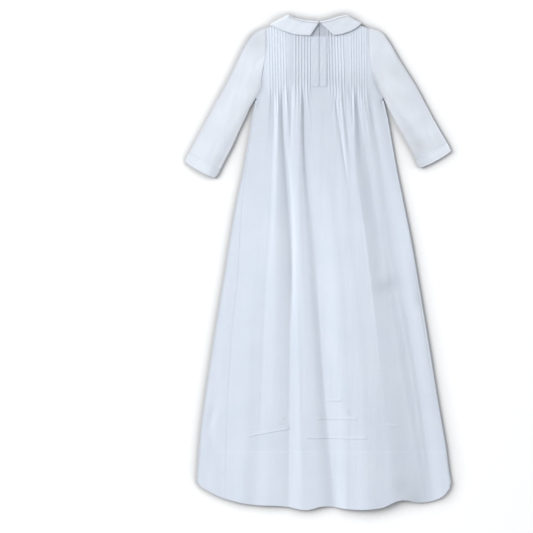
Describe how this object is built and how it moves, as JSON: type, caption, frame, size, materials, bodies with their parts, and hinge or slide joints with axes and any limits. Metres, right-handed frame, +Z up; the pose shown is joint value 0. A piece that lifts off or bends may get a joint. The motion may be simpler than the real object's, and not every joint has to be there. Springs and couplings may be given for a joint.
{
  "type": "christening gown",
  "caption": "Long white baby christening gown laid flat: pintucked yoke, flat split collar, long cuffed sleeves, full folded skirt with hem tucks.",
  "frame": {"origin": "middle of the gown's outline, on the surface that it lies on", "axes": "+X to the right and +Y from the hem to the collar as seen from above, +Z up from the surface, out of the side with the neck opening"},
  "size_m": [0.4582, 0.8503, 0.0096],
  "materials": {
    "lawn": "fine plain-weave cotton lawn, white with a cool cast, matt with a faint sheen",
    "lawn_double": "the same lawn in two layers, pressed, a little brighter",
    "thread": "white stitched tuck, soft sheen"
  },
  "bodies": {
    "root": {"back_panel": "lawn", "front_panel": "lawn", "sleeve_left": "lawn", "sleeve_right": "lawn", "cuff_left": "lawn_double", "cuff_right": "lawn_double", "collar_left": "lawn_double", "collar_right": "lawn_double", "placket_left": "lawn_double", "placket_right": "lawn_double", "hem_tuck_top": "thread", "hem_tuck_middle": "thread", "hem_tuck_low": "thread", "hem_tuck_left": "thread", "hem_tuck_right": "thread"}
  },
  "joints": []
}
